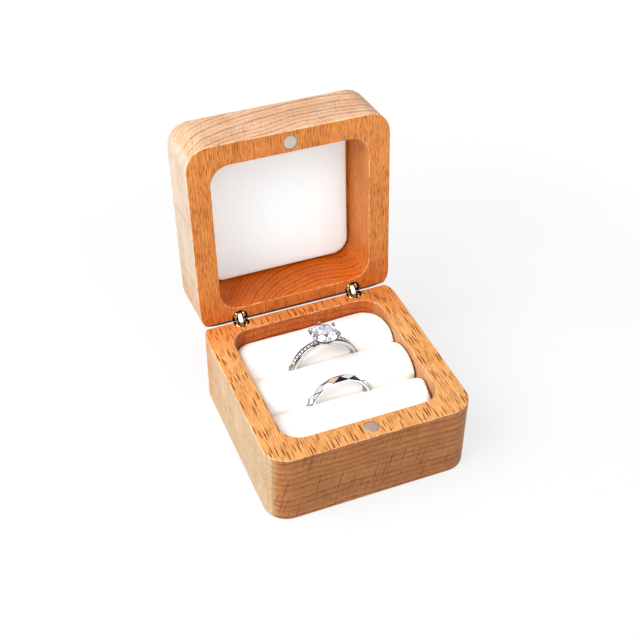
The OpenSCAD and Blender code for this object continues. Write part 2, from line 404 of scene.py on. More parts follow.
def beech(name, ring_gap, centre_x, curve, fleck, lines_dark, rays, flat, end_out, end_in,
          side_out, side_in):
    """Oiled beech. The fibre runs front to back, and the growth rings are arches over centre_x.

    curve is how sharply they arch, per millimetre, at the front and at the rear. fleck is the
    width and length of a cell and the strength of the short dark flecks on the meeting faces,
    lines_dark the strength of the growth rings and of the fine lines between them on the end
    grain, and rays the strength of the upright lines there.
    """
    g = Nodes(name)
    place = g.place()
    x, y, z = g.split(place)

    # growth rings: height over the arch, a little wavy, with a dark line at the end of each
    slow = g.noise(place, 0.05, output="Color", stretch=(1, 0.35, 1))
    sway = g.vector("SUBTRACT", slow, [0.5] * 3)
    sx, _, sz = g.split(sway)
    wide = g.scaled(sx, 6.0, g.minus(x, centre_x))
    arch = g.times(wide, wide, g.remap(y, -24.0, 20.0, *curve))
    level = g.math("ADD", g.scaled(sz, 3.6, z), arch)
    ripple = g.noise(place, 0.6, stretch=(1, 0.2, 1.5))
    ring = g.math("DIVIDE", g.scaled(ripple, 0.55, level), ring_gap)
    breaks = g.noise(place, 1.0, stretch=(0.3, 0.3, 1.7))
    broken = g.remap(breaks, 0.36, 0.56, 0.5, 1.0)

    def lines(scale, start, low):
        """Thin dark lines, one to a ring, of uneven strength."""
        at = g.times(ring, scale)
        part = g.math("FRACT", at)
        whole = g.feed(g.add("TexWhiteNoise", noise_dimensions="1D"), W=g.math("FLOOR", at))
        rise = g.math("POWER", g.remap(part, start, 0.94, kind="LINEAR"), 2.0)
        fall = g.fall(part, 0.94, 1.0)
        return g.times(rise, fall, broken, g.remap(whole["Value"], 0, 1, low, 1.0))

    line = lines(1.0, 0.35, 0.35)
    fine_line = lines(4.3, 0.3, 0.2)

    # fibre: fine streaks along the grain, and the cut ends of the vessels
    streak = g.noise(place, 1.0, 3.0, 0.65, stretch=(2.8, 0.16, 2.8))
    vessel = g.noise(place, 1.0, 1.0, 0.5, stretch=(5.5, 0.5, 5.5))
    wander = g.noise(place, 0.7, 1.0)

    def marks(across, along, width, length, low, high, share, shift):
        """Short thin marks: one in some of the cells of an uneven grid."""
        cell = g.feed(g.add("TexVoronoi", voronoi_dimensions="2D"), Scale=1.0, Randomness=0.9,
                      Vector=g.fill(g.add("CombineXYZ"), g.math("DIVIDE", across, width),
                                    g.scaled(along, 1 / length, shift)))
        r, kept, _ = g.split(cell["Color"])
        size = g.remap(r, 0, 1, low, high, kind="LINEAR")
        near = g.math("DIVIDE", cell["Distance"], size)
        return g.times(g.fall(near, 0.7, 1.0), g.math("LESS_THAN", kept, share))

    bent = g.scaled(wander, 0.18, x)
    width, length, strength = fleck
    dark = marks(bent, y, width, length, 0.12, 0.25, 0.75, 0.0)
    dim = marks(bent, y, width * 0.5, length * 0.8, 0.12, 0.28, 0.6, 0.37)
    outside = g.remap(g.size(g.minus(z, LID_FACE / MM)), 17.0, 17.8)
    fleck_mark = g.times(g.largest(dark, g.times(dim, 0.55)), g.scaled(outside, -0.5, 1.0))
    slant = g.scaled(z, -0.24, bent)
    tall = marks(slant, z, 0.95, 24.0, 0.09, 0.19, 0.8, 0.2)
    short = marks(slant, z, 0.55, 8.0, 0.12, 0.26, 0.6, 0.6)
    ray_mark = g.largest(tall, g.times(short, 0.55))

    # which way the surface faces in the block, and whether it is an outer face
    across, back, up = (g.size(part) for part in g.split(g.facing()))
    is_end = g.remap(back, 0.45, 0.85)
    is_side = g.remap(across, 0.45, 0.85)
    is_flat = g.minus(1.0, g.largest(is_end, is_side))
    is_outer = g.remap(g.largest(g.size(x), g.size(y)), 25.5, 28.5)

    # painted light: outer sides take the pale side_out tone on the left, where the key lamp falls,
    # and a warmer tone on the right, which lies in shade
    shaded_side_tone = [a + (b - a) * 0.6 for a, b in zip(side_out, side_in)]
    sides = g.mix(is_outer, side_in, g.mix(g.remap(x, -10, 20), side_out, shaded_side_tone))
    tone = g.mix(outside, flat, (0.72, 0.41, 0.20))
    tone = g.mix(is_side, tone, sides)
    tone = g.mix(is_end, tone, g.mix(is_outer, end_in, end_out))
    cloud = g.noise(place, 0.10, 4.0, 0.6, stretch=(1, 0.4, 1))
    tone = g.stain(tone, g.remap(cloud, 0.35, 0.65), (0.90, 0.83, 0.76))
    tone = g.stain(tone, g.remap(streak, 0.3, 0.75), (0.74, 0.60, 0.48))
    tone = g.stain(tone, g.remap(vessel, 0.48, 0.72, 0.0, 0.8), (0.72, 0.56, 0.44))

    def darken(mark, on_flat, on_end, on_side, colour):
        share = g.scaled(is_end, on_end, g.scaled(is_flat, on_flat, g.times(is_side, on_side)))
        return g.stain(tone, g.times(mark, share), colour)

    tone = darken(line, 0.20, lines_dark[0], 0.10, (0.36, 0.165, 0.06))
    tone = darken(fine_line, 0.08, lines_dark[1], 0.06, (0.34, 0.175, 0.075))
    tone = darken(ray_mark, 0.0, rays, 0.0, (0.40, 0.26, 0.18))
    tone = darken(fleck_mark, strength, 0.0, 0.12, (0.29, 0.105, 0.04))

    # the hinge side is redder; eased edges get a painted highlight, the rear bevels a painted
    # shadow, and crevices painted shade
    tone = g.stain(tone, g.remap(y, 8.0, 27.0), (0.98, 0.72, 0.53))
    eased = g.times(g.remap(up, 0.2, 0.5), g.fall(up, 0.85, 0.98),
                    g.remap(wander, 0.35, 0.65, 0.05, 0.42))
    tone = g.mix(eased, tone, (0.98, 0.74, 0.48))
    rear_bevel_shadow = g.times(g.remap(back, 0.25, 0.4), g.remap(up, 0.25, 0.4), g.remap(y, 26.0, 26.8))
    tone = g.stain(tone, rear_bevel_shadow, (0.22, 0.15, 0.11))
    crevice = g.fall(g.open_sky(0.9 * MM, 6), 0.15, 0.6)
    tone = g.stain(tone, crevice, (0.10, 0.05, 0.03))

    rough = g.remap(streak, 0.2, 0.8, 0.42, 0.56, kind="LINEAR")
    dips = g.math("ADD", g.times(fleck_mark, is_flat),
                  g.times(g.math("ADD", ray_mark, line), is_end, 0.6))
    g.bump(g.scaled(dips, -1.0, g.times(streak, 0.5)), 0.05 * MM, 0.6)
    return g.set(Base_Color=tone, Roughness=rough, Specular_IOR_Level=0.2)


def velvet(name, colour, glow=0.0):
    """Short white pile: fine bumps, faint patches where the nap lies over, and a soft sheen.

    glow stands for the light that scatters between the bright fibres.
    """
    g = Nodes(name)
    place = g.place()
    patch = g.noise(place, 0.16, 3.0, 0.55)
    pile = g.noise(place, 5.5, 2.0, 0.7)
    tone = g.mix(g.remap(patch, 0.3, 0.7), colour, [c * 0.965 for c in colour])
    tone = g.stain(tone, g.remap(pile, 0.25, 0.8, 0.0, 0.5), (0.93, 0.93, 0.93))
    g.bump(g.scaled(patch, 0.6, pile), 0.12 * MM, 0.6)
    return g.set(Base_Color=tone, Roughness=g.remap(pile, 0, 1, 0.9, 1.0),
                 Emission_Color=(*colour, 1), Emission_Strength=glow, Sheen_Weight=0.3,
                 Sheen_Roughness=0.45, Specular_IOR_Level=0.1)


def marked_metal(name, colour, dim, metallic=1.0):
    """Start of a metal: its nodes, the place, a faint random mark and the tone that it gives."""
    g = Nodes(name)
    g.set(Metallic=metallic)
    place = g.place()
    mark = g.noise(place, 2.2, 4.0, 0.65)
    return g, place, mark, g.mix(g.remap(mark, 0.3, 0.7), colour, [c * dim for c in colour])


def metal(name, colour, rough_low, rough_high, crevice=0.0, metallic=1.0, glow=0.0):
    """Polished metal with faint marks, and painted shade within crevice metres of other metal.

    glow is a painted glint: how much brighter some of its flat facets look than others.
    """
    g, _, mark, tone = marked_metal(name, colour, 0.94, metallic)
    if crevice:
        shut_in = g.fall(g.open_sky(crevice, 8), 0.35, 0.8)
        tone = g.stain(tone, shut_in, (0.05, 0.05, 0.055))
    if glow:
        g.set(Emission_Color=(*colour, 1),
              Emission_Strength=g.remap(g.facet(4.0), 0.1, 0.6, 0.0, glow))
    g.bump(mark, 0.004 * MM, 0.2)
    return g.set(Base_Color=tone, Roughness=g.remap(mark, 0.25, 0.75, rough_low, rough_high))


def shank_metal(name, colour):
    """White metal with painted shade on the floor of the channels that hold the small stones."""
    g, place, _, tone = marked_metal(name, colour, 0.94)
    x, y, z = g.split(g.vector("SUBTRACT", place, [c / MM for c in SHANK_CENTRE]))
    from_axis = g.math("SQRT", g.math("ADD", g.times(x, x), g.times(z, z)))
    turn = g.size(g.math("ARCTAN2", x, z))
    start, end = (radians(v) for v in (ACCENT_FIRST - 6, ACCENT_FIRST + 53))
    sunk = g.times(g.remap(turn, start, start + 0.02), g.fall(turn, end, end + 0.02),
                   g.fall(g.size(y), 0.72, 0.76),
                   g.fall(from_axis, SHANK_R / MM - 0.02, SHANK_R / MM + 0.03),
                   g.remap(from_axis, SHANK_R / MM - 0.7, SHANK_R / MM - 0.6))
    # painted shade: thin dark lines along the rounded outer and inner edges
    outer, inner = (g.fall(g.size(g.minus(from_axis, r / MM)), 0.06, 0.11)
                    for r in (SHANK_R - 0.13 * MM, SHANK_R - RING_T + 0.16 * MM))
    edge_shade = g.times(g.remap(g.size(y), 0.92, 1.0), g.largest(outer, inner))
    tone = g.mix(edge_shade, tone, (0.10, 0.10, 0.11))
    tone = g.mix(sunk, tone, (0.03, 0.03, 0.035))
    return g.set(Base_Color=tone, Roughness=g.remap(sunk, 0, 1, 0.06, 0.5))


def barrel_brass(name, colour):
    """Brass with painted shade: nearly black on the sleeve round the ears, in the slot and low
    between them.
    """
    g, place, _, tone = marked_metal(name, colour, 0.9)
    x, _, z = g.split(place)
    sleeve = g.remap(g.vector("LENGTH", g.vector("MULTIPLY", place, (1, 1, 0))), 2.00, 2.08)
    slit = g.times(g.fall(g.size(x), 0.92, 0.98),
                   g.remap(g.size(g.split(g.facing())[0]), 0.4, 0.6))
    black = g.largest(slit, sleeve, g.fall(z, -1.2, -0.4))
    return g.set(Base_Color=g.mix(black, tone, (0.018, 0.014, 0.010)),
                 Roughness=g.remap(sleeve, 0, 1, 0.14, 0.6))


def link_brass(name, colour):
    """Bright brass in the middle of a link, with painted shade: black on its flat sides, brown at
    its ends.
    """
    g, place, _, tone = marked_metal(name, colour, 0.9)
    along = g.minus(g.split(place)[2], LINK_LENGTH / 2 / MM + 0.4)
    ends = g.remap(g.size(along), 0.8, 1.5)
    side = g.remap(g.size(g.split(g.facing())[0]), 0.5, 0.8)
    tone = g.mix(ends, tone, (0.13, 0.07, 0.025))
    tone = g.mix(side, tone, (0.02, 0.015, 0.01))
    return g.set(Base_Color=tone, Roughness=g.remap(ends, 0, 1, 0.12, 0.3))


def gemstone(name, glow):
    """Clear cut stone.

    glow is a painted sparkle for the light that has been round inside it, which differs from
    facet to facet. The table glows little; some other facets get a painted dark reflection.
    """
    g = Nodes(name)
    haze = g.noise(g.place(), 0.5, 1.0)
    sparkle = g.facet(6.0)
    table = g.remap(g.split(g.facing())[2], 0.95, 0.98)
    clear = g.mix(g.remap(haze, 0.3, 0.7), (0.99, 0.995, 1.0), (0.96, 0.98, 1.0))
    dull = g.times(g.fall(sparkle, 0.24, 0.32), g.minus(1.0, table))
    bright = g.times(g.remap(sparkle, 0.25, 0.85, 0.02, glow),
                     g.scaled(table, -0.9, 1.0))
    return g.set(Base_Color=g.mix(dull, clear, (0.16, 0.18, 0.22)), Roughness=0.0, IOR=2.4,
                 Transmission_Weight=1.0, Emission_Color=(0.90, 0.95, 1.0, 1),
                 Emission_Strength=bright)


# The outer tones hold painted light: end_out is darkened as painted shade on the base's front, and
# paled as painted light on the lid's front end, which faces up when the lid is open; side_out is
# paled as painted light on both blocks.
BASE_WOOD = beech("beech_base", 2.1, -8.0, (0.0010, 0.003), (0.85, 10.0, 1.0),
                  (0.85, 1.0), 0.75,
                  flat=(0.87, 0.465, 0.170), end_out=(0.55, 0.247, 0.082),
                  end_in=(0.78, 0.29, 0.070), side_out=(0.68, 0.525, 0.34),
                  side_in=(0.71, 0.39, 0.185))
LID_WOOD = beech("beech_lid", 2.0, 9.0, (0.0065, 0.026), (0.60, 6.2, 0.64),
                 (1.0, 0.7), 0.25,
                 flat=(0.84, 0.335, 0.086), end_out=(0.94, 0.665, 0.465),
                 end_in=(0.82, 0.26, 0.012), side_out=(0.715, 0.63, 0.53),
                 side_in=(0.78, 0.30, 0.06))
VELVET = velvet("white_pile", (0.95, 0.93, 0.90), 0.06)
# painted light: the pad's cool tint and its stronger glow cancel the warm light bounced from the
# wood and lift its shade
PAD_VELVET = velvet("white_pile_pad", (0.88, 0.97, 1.0), 0.27)
# painted glint: some of the band's flat facets glow brighter than others
WHITE_METAL = metal("white_metal_polished", (0.86, 0.86, 0.88), 0.04, 0.09, glow=0.55)
# painted light: near-black metal, a painted dark reflection on the softened edges between the
# band's facets and a painted shadow in the bowl under the centre stone
DARK_METAL = metal("white_metal_dark", (0.03, 0.03, 0.035), 0.3, 0.5)
# painted shade: the head is the same white metal in a darker tone, darkened further within 1.3 mm
# of other metal
HEAD_METAL = metal("white_metal_head", (0.52, 0.52, 0.54), 0.04, 0.08, 1.3 * MM)
SHANK_METAL = shank_metal("white_metal_set", (0.74, 0.72, 0.70))
BRASS = metal("brass_polished", (0.92, 0.80, 0.56), 0.10, 0.18)
LINK_BRASS = link_brass("brass_link", (0.92, 0.80, 0.56))
BARREL_BRASS = barrel_brass("brass_barrel", (0.88, 0.62, 0.28))
# painted reflection: the two magnets are one nickel in two tones, warmer and darker in the base
# magnet, which faces the orange wood
BASE_NICKEL = metal("nickel_warm", (0.64, 0.49, 0.385), 0.40, 0.55, metallic=0.55)
LID_NICKEL = metal("nickel_satin", (0.68, 0.64, 0.58), 0.40, 0.55)
CARD = velvet("grey_card", (0.70, 0.70, 0.68))
STONE = gemstone("clear_stone_cut", 0.55)
SMALL_STONE = gemstone("clear_stone_small", 0.6)
# painted dark reflection: grey metal on the softened edges of the stones' facets
FACET_LINE = metal("facet_line", (0.42, 0.46, 0.52), 0.1, 0.2)


# ---- wooden blocks ----

def block_loops(height, wall, floor):
    """Profile of a block with a pocket open upwards: outside up, over the rim, down the pocket."""
    inner = BOX_HALF - wall

    def eased(half, r, shift, z):
        return rounded_loop(half + shift, r + shift, z)

    loops = [eased(BOX_HALF, CORNER_R, -OUTER_EASE * (1 - s), OUTER_EASE * (1 - c))
             for c, s in quarter(5)]
    loops += [eased(BOX_HALF, CORNER_R, -RIM_EASE * (1 - c), height - RIM_EASE * (1 - s))
              for c, s in quarter(5)]
    loops += [eased(inner, POCKET_R, POCKET_EASE * (1 - s), height - POCKET_EASE * (1 - c))
              for c, s in quarter(5)]
    return loops + [eased(inner, POCKET_R, 0, floor)]


def rear_wedge(face_z):
    """Square bar whose side cuts the 45 degree bevel along a meeting face's rear edge."""
    return prism("wedge", [(BOX_HALF + REAR_BEVEL * c, face_z + REAR_BEVEL * s)
                           for c, s in ((1, 0), (0, 1), (-1, 0), (0, -1))], 40 * MM)


def bore(x, y, face_z, direction, radius, depth):
    """Cylinder from just above a meeting face into its block; direction is 1 or -1 along Z."""
    low, high = sorted((face_z - direction * MM, face_z + direction * depth))
    return hole_cutter(Vector((x, y, low)), Vector((x, y, high)), radius)


MAGNET_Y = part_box("base_magnet")[0].y + MAGNET_D / 2


def wooden_block(body, loops, face_z, direction, material, matrix):
    """Block with its bores and bevel; direction is the way from its face into its wood."""
    name = f"wooden_{body}"
    obj = loft(name, loops, flip=direction > 0)
    cutters = [rear_wedge(face_z),
               bore(0, MAGNET_Y, face_z, direction, MAGNET_D / 2 + 0.06 * MM, MAGNET_T)]
    cutters += [bore(x, BASE_PIN.y, face_z, direction, BARREL_D / 2 + 0.02 * MM, BARREL_LEN)
                for x in (-HINGE_X, HINGE_X)]
    cut(obj, cutters)
    soften_edges(obj, 0.2 * MM)
    smooth(obj)
    hand_over(obj, material, body, "beech_wood", f"{body}_block", matrix=matrix)


def make_base():
    loops = block_loops(BASE_TOP, BASE_WALL, BASE_FLOOR)
    wooden_block("base", loops, BASE_TOP, -1, BASE_WOOD, Matrix())


def make_lid():
    loops = block_loops(LID_HEIGHT, LID_WALL, LID_ROOF)
    for loop in loops:
        for point in loop:
            point.z = LID_FACE + LID_HEIGHT - point.z
    wooden_block("lid", loops, LID_FACE, 1, LID_WOOD, LID_OPEN)


make_base()
make_lid()

# ---- velvet rolls ----

SIM_SCALE = 10.0
ROLL_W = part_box("middle_roll_velvet")[1].x
ROLL_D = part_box("rear_roll_velvet")[1].y
ROLL_CORNER = POCKET_R - 0.3 * MM
ROLL_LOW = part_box("middle_roll_velvet")[0].z
CROWN_RISE = 2.6 * MM


def inflate(obj, pressure, cap, frames=20):
    """Puffs a closed mesh up as cloth, at ten times life size, and caps how far a point moves."""
    mesh = obj.data
    start = [v.co.copy() for v in mesh.vertices]
    for v in mesh.vertices:
        v.co *= SIM_SCALE
    mod = obj.modifiers.new("puff", "CLOTH")
    assign(mod.settings, quality=6, use_pressure=True, uniform_pressure_force=pressure,
           tension_stiffness=12, compression_stiffness=12, bending_stiffness=1.5)
    mod.settings.effector_weights.gravity = 0
    assign(mod.point_cache, frame_start=1, frame_end=frames)
    scene = bpy.context.scene
    for number in range(1, frames + 1):
        scene.frame_set(number)
    puffed = obj.evaluated_get(bpy.context.evaluated_depsgraph_get()).data
    ends = [v.co / SIM_SCALE for v in puffed.vertices]
    obj.modifiers.clear()
    scene.frame_set(1)
    for v, a, b in zip(mesh.vertices, start, ends):
        move = b - a
        if move.length > cap:
            move *= cap / move.length
        v.co = a + move
    mesh.update()


def subdivide(obj):
    assign(obj.modifiers.new("fine", "SUBSURF"), levels=1, render_levels=1)
    apply_modifiers(obj)


def pocket_reach(across):
    """How far the pocket's rounded corners let the soft insert reach at a place across it."""
    past = abs(across) - (ROLL_W - ROLL_CORNER)
    if past <= 0:
        return ROLL_D
    return ROLL_D - ROLL_CORNER + sqrt(max(ROLL_CORNER ** 2 - past ** 2, 0.0))


def roll_section(x, y0, y1, crown_z, inset):
    """Outline of a roll at x, in y and z: flat underneath, upright sides, domed top."""
    reach = pocket_reach(x)
    y0, y1 = max(y0, -reach) + inset, min(y1, reach) - inset
    low, top = ROLL_LOW + inset, crown_z - inset
    middle, half = (y0 + y1) / 2, (y1 - y0) / 2
    shoulder = top - CROWN_RISE
    points = [(y0 + (y1 - y0) * i / 10, low) for i in range(11)]
    points += [(y1, low + (shoulder - low) * i / 9) for i in range(1, 10)]
    for i in range(1, 22):
        t = cos(pi * i / 22)
        points.append((middle + half * t, shoulder + CROWN_RISE * (1 - abs(t) ** 2.4)))
    return points + [(y0, shoulder + (low - shoulder) * i / 9) for i in range(9)]


def roll_shape(name, y0, y1, crown_z):
    slices, round_end = 64, 0.9 * MM
    loops = []
    for k in range(slices + 1):
        x = -ROLL_W * cos(pi * k / slices)
        from_end = min(ROLL_W - abs(x), round_end)
        lean = 1 - from_end / round_end
        inset = 0.12 * MM + round_end * 0.6 * (1 - sqrt(1 - lean * lean))
        loops.append([Vector((x, y, z)) for y, z in roll_section(x, y0, y1, crown_z, inset)])
    return loft(name, loops)


def press_ring(obj, centre, ring_r, y_side):
    """Pushes a roll's side back where a standing ring passes, fading out round it."""
    clear, fade = RING_W / 2 + 0.03 * MM, 0.45 * MM
    middle_r = ring_r - RING_T / 2
    for v in obj.data.vertices:
        away = abs(hypot(v.co.x - centre.x, v.co.z - centre.z) - middle_r) - RING_T / 2
        if away > fade:
            continue
        share = 1.0 if away <= 0.1 * MM else 0.5 + 0.5 * cos(pi * away / fade)
        from_slot = (v.co.y - centre.y) * y_side
        if from_slot < clear:
            v.co.y += y_side * (clear - from_slot) * share
        elif from_slot < clear + 2.5 * MM:
            v.co.z -= 0.10 * MM * share * (1 - (from_slot - clear) / (2.5 * MM))


def fit_roll(obj, y0, y1, crown_z):
    """Keeps a puffed roll inside the room it has in the pocket."""
    for v in obj.data.vertices:
        reach = pocket_reach(v.co.x) - 0.05 * MM
        v.co.x = max(-ROLL_W + 0.05 * MM, min(ROLL_W - 0.05 * MM, v.co.x))
        v.co.y = max(y0 + 0.01 * MM, -reach, min(y1 - 0.01 * MM, reach, v.co.y))
        v.co.z = max(ROLL_LOW, min(crown_z, v.co.z))
        if v.co.z > ROLL_LOW + 5 * MM:
            v.co.z += 0.09 * MM * noise.noise(v.co * 130.0)


def make_rolls():
    for name in ("front", "middle", "rear"):
        low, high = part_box(f"{name}_roll_velvet")
        obj = roll_shape(f"{name}_velvet_roll", low.y, high.y, high.z)
        inflate(obj, 2.0, 0.35 * MM)
        subdivide(obj)
        fit_roll(obj, low.y, high.y, high.z)
        if name != "rear":
            press_ring(obj, BAND_CENTRE, BAND_R, -1 if name == "front" else 1)
        if name != "front":
            press_ring(obj, SHANK_CENTRE, SHANK_R, 1 if name == "rear" else -1)
        smooth(obj, 180)
        hand_over(obj, VELVET, "base", "white_velvet", f"{name}_roll_velvet",
                  f"{name}_roll_foam")


# ---- lid pad ----

PAD_HALF = BOX_HALF - LID_WALL - 0.4 * MM
PAD_R = POCKET_R - 0.4 * MM
PAD_TOP = LID_FACE + LID_HEIGHT - LID_ROOF
PAD_T = 1.7 * MM


def make_lid_pad():
    edge, gap = 0.7 * MM, 0.2 * MM
    low = PAD_TOP - PAD_T + 0.25 * MM
    rows = [(gap + edge * (1 - s), low + edge * (1 - c)) for c, s in quarter(4)]
    rows.append((gap, PAD_TOP))
    obj = loft("lid_velvet_pad", [rounded_loop(PAD_HALF - inset, PAD_R - inset, z)
                                  for inset, z in rows])
    assign(obj.modifiers.new("even", "REMESH"), mode="VOXEL", voxel_size=0.7 * MM)
    apply_modifiers(obj)
    inflate(obj, 2.5, 0.3 * MM)
    subdivide(obj)
    for v in obj.data.vertices:
        v.co.x = max(-PAD_HALF, min(PAD_HALF, v.co.x))
        v.co.y = max(-PAD_HALF, min(PAD_HALF, v.co.y))
        v.co.z = max(PAD_TOP - PAD_T, min(PAD_TOP - 0.02 * MM, v.co.z))
    smooth(obj, 180)
    hand_over(obj, PAD_VELVET, "lid", "white_velvet", "lid_pad_velvet", "lid_pad_foam",
              "lid_pad_board", matrix=LID_OPEN)


# ---- rings ----

def round_the_ring(centre, radius, angle, y):
    """Point on a ring that stands with its axis front to back; angle 0 is its top."""
    return Vector((centre.x + radius * sin(angle), centre.y + y,
                   centre.z + radius * cos(angle)))


def make_band():
    """Wedding band cut with long lozenges round its outside and triangles between them."""
    cuts, per_cut = 13, 8
    count = cuts * per_cut
    half_w = RING_W / 2
    inner_r = BAND_R - RING_T
    step = 2 * pi / cuts
    edge_r = BAND_R * cos(step / 2)

    def around(radius, y, at):
        return round_the_ring(BAND_CENTRE, radius, at * step, y)

    def chord(i, side_y):
        k, t = divmod(i, per_cut)
        return around(edge_r, side_y, k + 0.5).lerp(around(edge_r, side_y, k + 1.5), t / per_cut)

    points, rows = [], []
    for radius, y in ((None, -half_w), (inner_r + 0.2 * MM, -half_w),
                      (inner_r, -half_w + 0.35 * MM), (inner_r, half_w - 0.35 * MM),
                      (inner_r + 0.2 * MM, half_w), (None, half_w)):
        rows.append(len(points))
        points += [around(radius, y, i / per_cut + 0.5) if radius else chord(i, y)
                   for i in range(count)]
    ridge = len(points)
    points += [around(BAND_R, 0.0, k) for k in range(cuts)]
    faces = [f for a, b in zip(rows[:-1], rows[1:]) for f in quads(a, b, count)]
    for k in range(cuts):
        n = (k + 1) % cuts
        here = k * per_cut
        faces.append([ridge + k, rows[0] + here, ridge + n, rows[-1] + here])
        for row in (rows[0], rows[-1]):
            faces.append([row + (here + i) % count for i in range(per_cut + 1)] + [ridge + n])
    obj = consistent_normals(shape("faceted_band", points, faces))
    for i, face in enumerate(obj.data.polygons):
        face.use_smooth = i < 5 * count
    obj.data.set_sharp_from_angle(angle=radians(4))
    # painted dark reflection: the softened edges between the facets take the near-black DARK_METAL
    paint(obj, WHITE_METAL, DARK_METAL)
    soften_edges(obj, 0.13 * MM, 1, 4, material=1)
    hand_over(obj, None, "base", "white_metal", "wedding_band")


def in_row(angle_deg):
    """1 where the shoulders carry accent stones, fading to 0 beside them."""
    start = ACCENT_FIRST - 0.75 * ACCENT_STEP
    end = ACCENT_FIRST + (ACCENT_COUNT - 0.2) * ACCENT_STEP
    a = abs(angle_deg)
    return max(0.0, min(1.0, (a - start) / 1.5, (end - a) / 1.5))


def shank_shape():
    """Ring with soft edges and a sunk channel along each shoulder."""
    count = 240
    half_w, inner_r = RING_W / 2, SHANK_R - RING_T
    loops = []
    for i in range(count):
        degrees = -180 + 360 * i / count
        deep = 0.42 * MM * in_row(degrees)
        section = [(inner_r, -half_w + 0.4 * MM), (inner_r + 0.1 * MM, -half_w + 0.12 * MM),
                   (inner_r + 0.3 * MM, -half_w), (SHANK_R - 0.3 * MM, -half_w),
                   (SHANK_R - 0.08 * MM, -half_w + 0.1 * MM), (SHANK_R, -half_w + 0.3 * MM),
                   (SHANK_R, -0.74 * MM), (SHANK_R - deep, -0.66 * MM)]
        section += [(r, -y) for r, y in reversed(section)]
        loops.append([round_the_ring(SHANK_CENTRE, r, radians(degrees), y)
                      for r, y in section])
    size = len(loops[0])
    faces = [f for k in range(count) for f in quads(k * size, (k + 1) % count * size, size)]
    return shape("solitaire_ring", [p for loop in loops for p in loop], faces)


def brilliant_parts(radius, depth):
    """Points and faces of a round brilliant of 57 facets, up from its girdle's lower edge.

    The crown's height and the girdle's thickness are shares of the diameter, and so is depth,
    the height under the girdle.
    """
    crown_h, girdle_h, pavilion_h = (2 * radius * share for share in (0.155, 0.03, depth))
    table_r = radius * 0.56
    star_r = (radius + table_r) / 2
    keel_r = radius * 0.22
    flat = cos(pi / 8)
    star_drop = (radius - star_r * flat) * crown_h / (radius - table_r)
    keel_drop = (radius - keel_r * flat) * pavilion_h / radius
    points = []

    def row(count, r, z, shift=0.0):
        """Adds a row of points round the axis and gives their places in the list."""
        for k in range(count):
            turn = 2 * pi * (k + shift) / count
            points.append(Vector((r * cos(turn), r * sin(turn), z)))
        return list(range(len(points) - count, len(points)))

    table = row(8, table_r, girdle_h + crown_h)
    star = row(8, star_r, girdle_h + star_drop, 0.5)
    high = row(16, radius, girdle_h)
    low = row(16, radius, 0.0)
    keel = row(8, keel_r, -keel_drop, 0.5)
    culet = row(1, 0.0, -pavilion_h)[0]
    faces = [table]
    for k in range(8):
        n, p = (k + 1) % 8, (k - 1) % 8
        edge, mid, last = 2 * k, 2 * k + 1, (2 * k + 2) % 16
        faces += [[table[k], star[p], high[edge], star[k]], [table[k], star[k], table[n]],
                  [star[k], high[edge], high[mid]], [star[k], high[mid], high[last]],
                  [culet, keel[k], low[edge], keel[p]],
                  [keel[k], low[mid], low[edge]], [keel[k], low[last], low[mid]]]
    faces += [[high[k - 1], low[k - 1], low[k], high[k]] for k in range(16)]
    return points, faces


def gem_object(name, gems, material, depth=CAD_STONE_DEPTH):
    """One mesh of several brilliants; each gem is (matrix, radius)."""
    points, faces = [], []
    for matrix, radius in gems:
        own, own_faces = brilliant_parts(radius, depth)
        first = len(points)
        points += [matrix @ p for p in own]
        faces += [[first + i for i in f] for f in own_faces]
    obj = consistent_normals(shape(name, points, faces))
    # painted dark reflection: the softened facet edges take FACET_LINE
    paint(obj, material, FACET_LINE)
    return soften_edges(obj, gems[0][1] * 0.011, 1, 4, material=1)


def accent_matrix(side, number, y=0.0):
    """Place on a shoulder of the ring; number counts the stones from the top."""
    turn = radians(side * (ACCENT_FIRST + number * ACCENT_STEP))
    at = round_the_ring(SHANK_CENTRE, SHANK_R + ACCENT_LIFT, turn, y)
    return Matrix.Translation(at) @ Matrix.Rotation(turn, 4, "Y")


def make_solitaire_ring():
    obj = smooth(consistent_normals(shank_shape()), 28)
    with editing(obj) as bm:
        for side in (-1, 1):
            for i in range(ACCENT_COUNT + 1):
                for y in (-0.46 * MM, 0.46 * MM):
                    bmesh.ops.create_icosphere(bm, subdivisions=2, radius=BEAD_R,
                                               matrix=accent_matrix(side, i - 0.5, y))
    shade_smooth(obj)
    hand_over(obj, SHANK_METAL, "base", "white_metal", "solitaire_shank")

    gems = [(accent_matrix(side, i), ACCENT_R) for side in (-1, 1) for i in range(ACCENT_COUNT)]
    stones = gem_object("shoulder_stones", gems, SMALL_STONE)
    hand_over(stones, None, "base", "clear_stone", "solitaire_accent_stones")


STONE_LOW, STONE_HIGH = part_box("solitaire_stone")
CAD_STONE_R = (STONE_HIGH.x - STONE_LOW.x) / 2
STONE_R = CAD_STONE_R * 1.08
STONE_DEPTH = 0.27
STONE_TURN = 11
GIRDLE_Z = STONE_LOW.z + 2 * CAD_STONE_R * CAD_STONE_DEPTH
STONE_X, STONE_Y, _ = (STONE_LOW + STONE_HIGH) / 2


def tube(bm, path, radii, steps):
    """Adds a round bar along a path, with a radius at each point and closed ends."""
    loops = []
    for i, point in enumerate(path):
        ahead = (path[min(i + 1, len(path) - 1)] - path[max(i - 1, 0)]).normalized()
        side = ahead.cross(Vector((0, 0, 1) if abs(ahead.z) < 0.95 else (1, 0, 0))).normalized()
        up = ahead.cross(side)
        loops.append([point + radii[i] * (c * side + s * up) for c, s in circle(steps)])
    add_to_bmesh(bm, loft("tube", loops))


